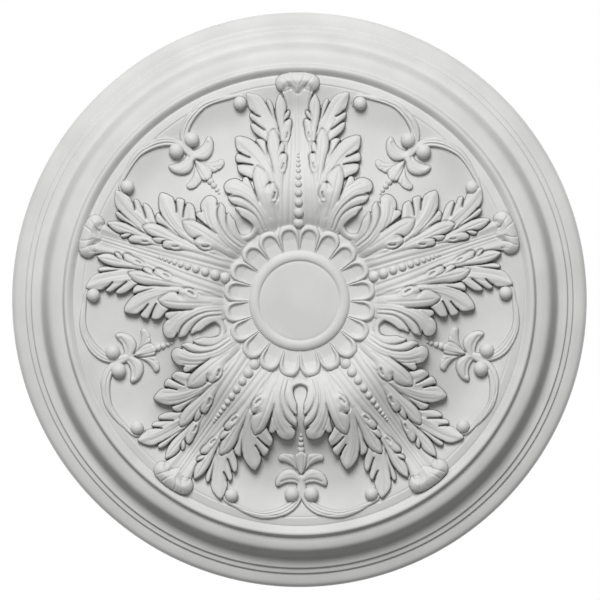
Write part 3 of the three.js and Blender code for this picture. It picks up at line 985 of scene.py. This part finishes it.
def end_tree(tree: bpy.types.NodeTree, placed: bpy.types.Node, given: Any) -> None:
    """End a tree by making its instances real, smooth and dressed.

    Args:
        tree: the tree.
        placed: the node that puts instances on points.
        given: the sockets of the tree's inputs.
    """
    real = add_node(tree, "GeometryNodeRealizeInstances", inputs={"Geometry": placed.outputs[0]})
    smooth = add_node(tree, "GeometryNodeSetShadeSmooth", inputs={"Geometry": real.outputs[0]})
    dressed = add_node(tree, "GeometryNodeSetMaterial", inputs={
        "Geometry": smooth.outputs[0], "Material": given[TreeInput.MATERIAL.value]})
    add_node(tree, "NodeGroupOutput", inputs={"Geometry": dressed.outputs[0]})


def grow_piece(name: str, holder: bpy.types.Object, tree: bpy.types.NodeTree,
               values: dict[TreeInput, Any]) -> None:
    """Run a tree and keep its result as a plain mesh piece, fixed to the frame.

    Args:
        name: the piece's name.
        holder: the object whose mesh the tree starts from; it is removed.
        tree: the tree.
        values: what each named input is set to.
    """
    modifier = holder.modifiers.new("maker", "NODES")
    modifier.node_group = tree
    sockets = {item.name: item.identifier for item in tree.interface.items_tree
               if item.in_out == "INPUT"}
    for name_of, value in values.items():
        modifier[sockets[name_of.value]] = value
    holder.update_tag()
    graph = bpy.context.evaluated_depsgraph_get()
    mesh = bpy.data.meshes.new_from_object(holder.evaluated_get(graph))
    mesh.name = name
    bpy.data.objects.remove(holder)
    attach(add_object(name, mesh))


@dataclass
class Beads:
    """Round beads on given spots, rows of x, y, h and radius in mm."""

    name: str
    finish: bpy.types.Material
    spots: np.ndarray
    round_steps: int = 24
    rings: int = 14

    def tree(self) -> bpy.types.NodeTree:
        """Build the tree that puts a ball on each point.

        Returns:
            The tree, with its named inputs.
        """
        tree, given = start_tree(self.name, (TreeInput.ROUND_STEPS, TreeInput.RINGS))
        size = add_node(tree, "GeometryNodeInputNamedAttribute", {"data_type": "FLOAT"},
                        {"Name": "bead_radius"})
        ball = add_node(tree, "GeometryNodeMeshUVSphere", inputs={
            "Segments": given[TreeInput.ROUND_STEPS.value],
            "Rings": given[TreeInput.RINGS.value], "Radius": 1.0})
        spots = add_node(tree, "GeometryNodeMeshToPoints",
                         inputs={"Mesh": given[TreeInput.SHAPE.value]})
        placed = add_node(tree, "GeometryNodeInstanceOnPoints", inputs={
            "Points": spots.outputs["Points"], "Instance": ball.outputs["Mesh"],
            "Scale": size.outputs["Attribute"]})
        end_tree(tree, placed, given)
        return tree

    def build(self) -> None:
        """Make the beads as a plain mesh piece."""
        mesh = bpy.data.meshes.new(self.name + "_spots")
        mesh.from_pydata(to_room(self.spots[:, :3]).tolist(), [], [])
        radius = mesh.attributes.new("bead_radius", "FLOAT", "POINT")
        radius.data.foreach_set("value", self.spots[:, 3] * MM)
        holder = add_object(self.name + "_holder", mesh)
        grow_piece(self.name, holder, self.tree(), {
            TreeInput.ROUND_STEPS: self.round_steps, TreeInput.RINGS: self.rings,
            TreeInput.MATERIAL: self.finish})


# Finish.

@dataclass(frozen=True)
class PrimedFoam:
    """White water-based primer sprayed on moulded rigid foam.

    Moulding gives soft edges and a few fine pinholes, and the sprayed primer a matt white
    coat with a slight orange-peel and faint cloudy patches. Dark grey painted shade lies in the
    slits and along the foot of the steep edges, and draws their thin dark lines.
    """

    base: str = "CCCCCB"
    shade: str = "C5C5C4"
    speck: str = "B9B8B4"
    # Dark grey of the painted shade in the slits and at the foot of steep edges.
    painted_shade: str = "3F3E3B"
    roughness: float = 0.62
    ior: float = 1.48
    gloss: float = 0.35
    peel_mm: float = 1.6
    peel_strength: float = 0.10
    peel_depth_mm: float = 0.25
    cloud_mm: float = 38.0
    pinhole_mm: float = 9.0
    pinhole_share: float = 0.07

    def material(self) -> bpy.types.Material:
        """Build the node material.

        Returns:
            The material.
        """
        made = bpy.data.materials.new("sprayed_primer_on_moulded_foam")
        made.use_nodes = True
        tree = made.node_tree
        tree.nodes.clear()
        place = add_node(tree, "ShaderNodeTexCoord").outputs["Object"]
        cloud = add_node(tree, "ShaderNodeTexNoise", inputs={
            "Vector": place, "Scale": 1.0 / (self.cloud_mm * MM), "Detail": 3.0})
        patch = add_node(tree, "ShaderNodeMapRange", inputs={
            "Value": cloud.outputs["Fac"], "From Min": 0.35, "From Max": 0.65})
        coat = add_node(tree, "ShaderNodeMix", {"data_type": "RGBA"}, {
            "Factor": patch.outputs["Result"], 6: linear(self.base), 7: linear(self.shade)})
        holes = add_node(tree, "ShaderNodeTexVoronoi", {"feature": "F1"}, {
            "Vector": place, "Scale": 1.0 / (self.pinhole_mm * MM), "Randomness": 1.0})
        chosen = add_node(tree, "ShaderNodeSeparateColor", inputs={"Color": holes.outputs["Color"]})
        few = add_node(tree, "ShaderNodeMath", {"operation": "GREATER_THAN"}, {
            0: chosen.outputs["Red"], 1: 1.0 - self.pinhole_share})
        near = add_node(tree, "ShaderNodeMapRange", inputs={
            "Value": holes.outputs["Distance"], "From Min": 0.035, "From Max": 0.075,
            "To Min": 1.0, "To Max": 0.0})
        pinhole = add_node(tree, "ShaderNodeMath", {"operation": "MULTIPLY"}, {
            0: few.outputs["Value"], 1: near.outputs["Result"]}).outputs["Value"]
        pitted = add_node(tree, "ShaderNodeMix", {"data_type": "RGBA"}, {
            "Factor": pinhole, 6: coat.outputs[2], 7: linear(self.speck)})
        # Painted shade: the recess attribute mixes the colour towards dark grey in the slits and at the
        # foot of steep edges, where shadow falls.
        painted_shade_mask = add_node(tree, "ShaderNodeAttribute", {
            "attribute_type": "GEOMETRY", "attribute_name": RECESS})
        painted_shade_mix = add_node(tree, "ShaderNodeMix", {"data_type": "RGBA"}, {
            "Factor": painted_shade_mask.outputs["Fac"], 6: pitted.outputs[2], 7: linear(self.painted_shade)})
        peel = add_node(tree, "ShaderNodeTexNoise", inputs={
            "Vector": place, "Scale": 1.0 / (self.peel_mm * MM), "Detail": 2.0})
        dents = add_node(tree, "ShaderNodeMath", {"operation": "SUBTRACT"}, {
            0: peel.outputs["Fac"], 1: pinhole})
        bump = add_node(tree, "ShaderNodeBump", inputs={
            "Height": dents.outputs["Value"], "Strength": self.peel_strength,
            "Distance": self.peel_depth_mm * MM})
        shader = add_node(tree, "ShaderNodeBsdfPrincipled", inputs={
            "Base Color": painted_shade_mix.outputs[2], "Roughness": self.roughness, "IOR": self.ior,
            "Specular IOR Level": self.gloss, "Normal": bump.outputs["Normal"]})
        add_node(tree, "ShaderNodeOutputMaterial", inputs={"Surface": shader.outputs["BSDF"]})
        return made


# Parts of the rose.

@dataclass
class TurnedBody:
    """The round body: flat back, stepped and ogee frame with its torus, and the field."""

    finish: bpy.types.Material
    steps: int = 288
    crown: Point = (40.0, 44.0)
    back_radii: tuple[float, ...] = (254.7, 225.0, 120.0, 0.0)
    spacing: tuple[tuple[float, float, float], ...] = (
        (50.0, 190.0, 5.0), (190.0, 199.0, 0.45), (199.0, 236.8, 0.5), (236.8, 245.0, 0.3),
        (245.0, ROSE_RADIUS, 0.7))

    def build(self) -> None:
        """Make the body."""
        radii = np.r_[np.concatenate([np.arange(*span) for span in self.spacing]), ROSE_RADIUS]
        top = [(0.0, self.crown[1]), self.crown]
        back = [(radius, 0.0) for radius in self.back_radii]
        section = np.vstack([top, np.c_[radii, GROUND(radii)], back])
        attach(make_piece("rose_body", *turned_solid(section, self.steps), self.finish))


@dataclass
class CentreBoss:
    """The flat centre disc that carries the lamp canopy, with its half-round rim."""

    finish: bpy.types.Material
    steps: int = 240
    section: tuple[Point, ...] = (
        (0, 46.2), (12, 46.2), (24, 46.2), (32, 46.2), (33.8, 46.15), (34.5, 45.95), (35.1, 45.9),
        (35.5, 46.15), (35.9, 46.65), (36.5, 47.1), (37.5, 47.45), (38.8, 47.6), (40.2, 47.5),
        (41.6, 47.1), (42.8, 46.4), (43.8, 45.4), (44.6, 44.2), (45.1, 42.8), (45.2, 41.0),
        (45.2, 38.0), (0, 38.0),
    )

    def build(self) -> None:
        """Make the disc and rim."""
        points, faces = turned_solid(np.array(self.section, float), self.steps)
        attach(make_piece("centre_boss", points, faces, self.finish))


@dataclass
class PetalRing:
    """Twenty dished petals round the centre, one petal repeated by a node tree."""

    finish: bpy.types.Material
    reach: Point = (43.6, 68.6)
    half_width: float = 10.9
    outer: float = 67.0
    corner: float = 9.3
    end_share: float = 0.74
    floor_rows: tuple[Point, ...] = ((43, 42.6), (46.5, 43.0), (52, 44.0), (58, 45.3), (63, 46.6),
                                     (68, 47.6))
    lip_rows: tuple[Point, ...] = ((43, 44.2), (46, 45.2), (50, 46.6), (56, 48.1), (62, 49.0),
                                   (68, 48.8))
    lip_width: float = 4.7
    lip_crest: float = 0.42
    lip_roll: float = 1.3
    lowest: float = 38.0
    underside: float = 36.0
    step: float = 0.56

    def heights(self, side: np.ndarray, out: np.ndarray) -> np.ndarray:
        """Shape one petal's top.

        Args:
            side: places across in mm.
            out: places outward in mm.

        Returns:
            Heights in mm.
        """
        radius = np.hypot(side, out)
        turn = np.arctan2(np.abs(side), out)
        wedge = radius * np.sin(math.pi / PETAL_COUNT - turn)
        end = (self.outer - out) * self.end_share
        near_corner = (wedge < self.corner) & (end < self.corner)
        round_end = self.corner - np.hypot(self.corner - wedge, self.corner - end)
        inside = np.where(near_corner, round_end, np.minimum(wedge, end))
        lip = smooth_curve(self.lip_rows)(radius)
        floor = smooth_curve(self.floor_rows)(radius)
        width = self.lip_width * np.clip(0.42 + 0.58 * (out - 46.0) / 18.0, 0.42, 1.0)
        across = np.clip(inside / width, 0.0, 1.0)
        climb = np.clip(across / self.lip_crest, 0.0, 1.0)
        rise = np.sqrt(np.maximum(1.0 - (1.0 - climb) ** 2, 0.0))
        fall = ease((across - self.lip_crest) / (1.0 - self.lip_crest))
        top = lip - self.lip_roll * (1.0 - rise) - (lip - floor) * fall
        return np.where(inside < 0.0, lip - self.lip_roll + 4.0 * inside, top)

    def petal(self) -> tuple[np.ndarray, Faces]:
        """Make one petal as a closed solid pointing along +y.

        Returns:
            Bench points in mm, and faces.
        """
        width = self.half_width
        sides = np.linspace(-width, width, int(2 * width / self.step) | 1)
        grid_s, grid_o = np.meshgrid(sides, np.arange(*self.reach, self.step))
        limit = np.tan(math.pi / PETAL_COUNT) * grid_o
        grid_s = grid_s * np.minimum(1.0, limit / width)
        top = np.maximum(self.heights(grid_s, grid_o), self.lowest)
        points = np.c_[grid_s.ravel(), grid_o.ravel(), top.ravel()]
        count = len(points)
        number = np.arange(count).reshape(grid_s.shape)
        faces = np.c_[number[:-1, :-1].ravel(), number[:-1, 1:].ravel(),
                      number[1:, 1:].ravel(), number[1:, :-1].ravel()].tolist()
        rim = np.r_[number[0, :-1], number[:-1, -1], number[-1, :0:-1], number[:0:-1, 0]]
        base = points[rim]
        base[:, 2] = self.underside
        for k in range(len(rim)):
            n = (k + 1) % len(rim)
            faces.append([int(rim[n]), int(rim[k]), count + k, count + n])
        faces.append([count + k for k in range(len(rim))][::-1])
        return np.vstack([points, base]), faces

    def tree(self) -> bpy.types.NodeTree:
        """Build the tree that repeats the petal round the middle.

        Returns:
            The tree, with its named inputs.
        """
        tree, given = start_tree("petal_ring", (TreeInput.COUNT,))
        count = given[TreeInput.COUNT.value]
        spots = add_node(tree, "GeometryNodePoints", inputs={
            "Count": count, "Position": (0.0, 0.0, 0.0)})
        index = add_node(tree, "GeometryNodeInputIndex")
        half = add_node(tree, "ShaderNodeMath", {"operation": "ADD"}, {0: index.outputs[0], 1: 0.5})
        part = add_node(tree, "ShaderNodeMath", {"operation": "DIVIDE"}, {0: half.outputs[0], 1: count})
        turn = add_node(tree, "ShaderNodeMath", {"operation": "MULTIPLY"}, {
            0: part.outputs[0], 1: math.tau})
        turns = add_node(tree, "ShaderNodeCombineXYZ", inputs={"Z": turn.outputs[0]})
        placed = add_node(tree, "GeometryNodeInstanceOnPoints", inputs={
            "Points": spots.outputs[0], "Instance": given[TreeInput.SHAPE.value],
            "Rotation": turns.outputs[0]})
        end_tree(tree, placed, given)
        return tree

    def build(self) -> None:
        """Make the ring of petals."""
        points, faces = self.petal()
        holder = make_piece("petal_holder", rotated(points, PETAL_SET), faces, self.finish)
        grow_piece("petal_ring", holder, self.tree(), {
            TreeInput.COUNT: PETAL_COUNT, TreeInput.MATERIAL: self.finish})


@dataclass
class CarvedRing:
    """A carved shape, mirror equal about its axis, that stands five times round the rose.

    The corners low and high are those of the half that is carved, which reaches a little
    past the axis.  Sunk is how far below the ground it is followed down.  First is its
    first turn from straight up, as a share of the turn between arms, and errors are the
    small amounts in degrees by which each one was set askew.
    """

    finish: bpy.types.Material
    name: str
    strokes: tuple[Stroke, ...]
    base: Curve
    low: Point
    high: Point
    sunk: float
    first: float
    errors: tuple[float, ...]
    step: float = 0.5

    def angles(self) -> list[float]:
        """Give each one's turn from straight up, in radians."""
        return [math.radians(error) + (k + self.first) * ARM_TURN
                for k, error in enumerate(self.errors)]

    def build(self) -> None:
        """Carve the shape once and make its five pieces."""
        fine = self.step / 2.0
        u, v = (low + fine * np.arange(int(round((high - low) / fine)) + 1)
                for low, high in zip(self.low, self.high))
        sheet = Relief(u, v)
        sheet.work(self.strokes, self.base)
        points, faces, shaded = relief_solid(sheet.thinned().mirrored(), self.sunk)
        for number, angle in enumerate(self.angles(), 1):
            turned = rotated(points, angle)
            attach(make_piece(f"{self.name}_{number}", turned, faces, self.finish, shaded))

    def build_beads(self, name: str, across: np.ndarray, out: np.ndarray, level: np.ndarray,
                    radius: np.ndarray) -> None:
        """Make the same beads on each of the five.

        Args:
            name: the piece's name.
            across: places sideways in mm.
            out: places outward in mm.
            level: heights of the middles in mm.
            radius: radii in mm.
        """
        own = np.c_[across, out, level]
        every = [np.c_[rotated(own, angle), radius] for angle in self.angles()]
        Beads(name, self.finish, np.vstack(every)).build()


@dataclass
class AcanthusArms(CarvedRing):
    """The five leafy arms from the petal ring to the frame, with their bead strings.

    Beads are rows of distance out and radius.
    """

    name: str = "acanthus_arm"
    strokes: tuple[Stroke, ...] = STEM + UPPER_LEAFLET + MIDDLE_LEAFLET + LOWER_LEAFLET + KNOB
    base: Curve = LEAF
    low: Point = (-8.0, 52.0)
    high: Point = (74.0, 203.0)
    sunk: float = 1.6
    first: float = 0.0
    errors: tuple[float, ...] = (0.5, 0.8, 0.6, 0.4, 0.2)
    beads: tuple[Point, ...] = (
        (69.2, 5.06), (78.1, 4.6), (87.0, 3.8), (95.4, 3.55), (103.0, 3.2), (109.2, 2.84),
        (115.0, 2.5), (119.8, 2.2), (123.8, 1.95), (127.4, 1.6), (130.0, 1.33),
    )
    bead_sunk: float = 1.6

    def bead_strings(self) -> None:
        """Make the bead strings down the arms."""
        out, radius = np.array(self.beads).T
        self.build_beads("arm_bead_strings", 0.0 * out, out, LEAF(out) - self.bead_sunk, radius)


@dataclass
class ScrollSprays(CarvedRing):
    """The bellflower, husks, scroll stems and balls in the five bays between the arms.

    Drops are rows of distance out, radius and lift over the ground, and balls have their
    place sideways before these.
    """

    name: str = "scroll_spray"
    strokes: tuple[Stroke, ...] = HUSK + BELLFLOWER + SCROLL
    base: Curve = GROUND
    low: Point = (-8.0, 130.0)
    high: Point = (74.0, 196.0)
    sunk: float = 1.2
    first: float = 0.5
    errors: tuple[float, ...] = (0.6, 0.3, 0.6, 0.3, -0.9)
    drops: tuple[tuple[float, ...], ...] = (
        (131.4, 3.3, 0.4), (126.6, 2.8, 0.4), (122.0, 2.2, 0.4), (118.6, 1.4, 0.4))
    balls: tuple[tuple[float, ...], ...] = ((8.5, 171.2, 6.7, 3.2), (61.9, 171.6, 6.0, 2.8))

    def spray_balls(self) -> None:
        """Make the scroll-end balls and the drop beads under the bellflowers."""
        rows = [(0.0, *drop) for drop in self.drops]
        rows += [(side * across, *rest) for across, *rest in self.balls for side in (1.0, -1.0)]
        across, out, radius, rise = np.array(rows).T
        level = GROUND(np.hypot(across, out)) + rise
        self.build_beads("spray_balls", across, out, level, radius)


# Light, camera and surroundings.

@dataclass
class Studio:
    """Plain soft light, a pale floor far below and the camera looking up."""

    camera_distance: float = 7.5
    camera_aside: float = 0.0005
    sensor: float = 36.0
    view_width: float = 0.5326
    camera_tilt: float = math.radians(1.0)
    key_energy: float = 194.0
    key_size: float = 2.1
    key_distance: float = 4.2
    key_way: tuple[float, float, float] = (-0.12, -0.61, -0.786)
    back_way: tuple[float, float, float] = (0.3, -0.3, 0.9)
    back_energy: float = 16.0
    fill_strength: float = 0.21
    floor_colour: str = "E4E4E2"
    floor_glow: float = 0.8
    floor_half: float = 12.0
    floor_height: float = -8.0

    def camera(self) -> None:
        """Make the camera below the rose, with the top of the picture towards -Y."""
        data = bpy.data.cameras.new("camera_from_below")
        data.sensor_width = self.sensor
        data.lens = self.sensor * self.camera_distance / self.view_width
        data.clip_end = 100.0
        camera = add_object("camera_from_below", data)
        aim = mathutils.Vector((self.camera_aside, 0.0, 0.0))
        tilt = self.camera_tilt
        forward = mathutils.Vector((0.0, math.sin(tilt), math.cos(tilt)))
        right = forward.cross(mathutils.Vector((0.0, -1.0, 0.0))).normalized()
        up = right.cross(forward)
        turn = mathutils.Matrix((right, up, -forward)).transposed().to_4x4()
        place = aim - forward * self.camera_distance
        camera.matrix_world = mathutils.Matrix.Translation(place) @ turn
        bpy.context.scene.camera = camera

    def area_light(self, name: str, towards: tuple[float, float, float], distance: float,
                   size: float, energy: float) -> None:
        """Make a round soft light aimed at the rose.

        Args:
            name: the light's name.
            towards: direction from the rose to the light, in the room.
            distance: distance in metres.
            size: width in metres.
            energy: power in watts.
        """
        data = bpy.data.lights.new(name, "AREA")
        data.shape = "DISK"
        data.size = size
        data.energy = energy
        light = add_object(name, data)
        way = mathutils.Vector(towards).normalized()
        light.location = way * distance
        light.rotation_euler = way.to_track_quat("Z", "Y").to_euler()
        light.visible_camera = False

    def world(self) -> None:
        """Make the pale surroundings: soft fill light, and white where seen past the rose."""
        world = bpy.data.worlds.new("pale_room")
        bpy.context.scene.world = world
        world.use_nodes = True
        tree = world.node_tree
        tree.nodes.clear()
        seen = add_node(tree, "ShaderNodeLightPath").outputs["Is Camera Ray"]
        strength = add_node(tree, "ShaderNodeMapRange", inputs={
            "Value": seen, "To Min": self.fill_strength, "To Max": 1.0})
        back = add_node(tree, "ShaderNodeBackground", inputs={
            "Color": (1.0, 1.0, 1.0, 1.0), "Strength": strength.outputs["Result"]})
        add_node(tree, "ShaderNodeOutputWorld", inputs={"Surface": back.outputs["Background"]})

    def floor(self) -> None:
        """Make the plain pale floor, evenly lit, far below the rose and sending it no light."""
        half, height = self.floor_half, self.floor_height
        mesh = bpy.data.meshes.new("pale_floor")
        corners = [(-half, -half), (half, -half), (half, half), (-half, half)]
        mesh.from_pydata([(x, y, height) for x, y in corners], [], [(0, 1, 2, 3)])
        paint = bpy.data.materials.new("matt_pale_floor_paint")
        paint.use_nodes = True
        shader = paint.node_tree.nodes["Principled BSDF"]
        shader.inputs["Base Color"].default_value = linear(self.floor_colour)
        shader.inputs["Roughness"].default_value = 0.85
        shader.inputs["Emission Color"].default_value = linear(self.floor_colour)
        shader.inputs["Emission Strength"].default_value = self.floor_glow
        mesh.materials.append(paint)
        floor = add_object("pale_floor", mesh)
        floor.visible_diffuse = False
        floor.visible_glossy = False

    def build(self) -> None:
        """Set up the whole studio."""
        self.camera()
        self.world()
        self.floor()
        self.area_light("key_light", self.key_way, self.key_distance, self.key_size,
                        self.key_energy)
        self.area_light("back_light", self.back_way, 2.2, 1.6, self.back_energy)
        bpy.context.scene.view_settings.view_transform = "Standard"


def main() -> None:
    """Build the rose and its surroundings, piece by piece."""
    logging.basicConfig(level=logging.INFO, format="%(name)s %(message)s")
    Studio().build()
    foam = PrimedFoam().material()
    TurnedBody(foam).build()
    CentreBoss(foam).build()
    PetalRing(foam).build()
    arms = AcanthusArms(foam)
    arms.build()
    sprays = ScrollSprays(foam)
    sprays.build()
    arms.bead_strings()
    sprays.spray_balls()


if __name__ == "__main__":
    main()
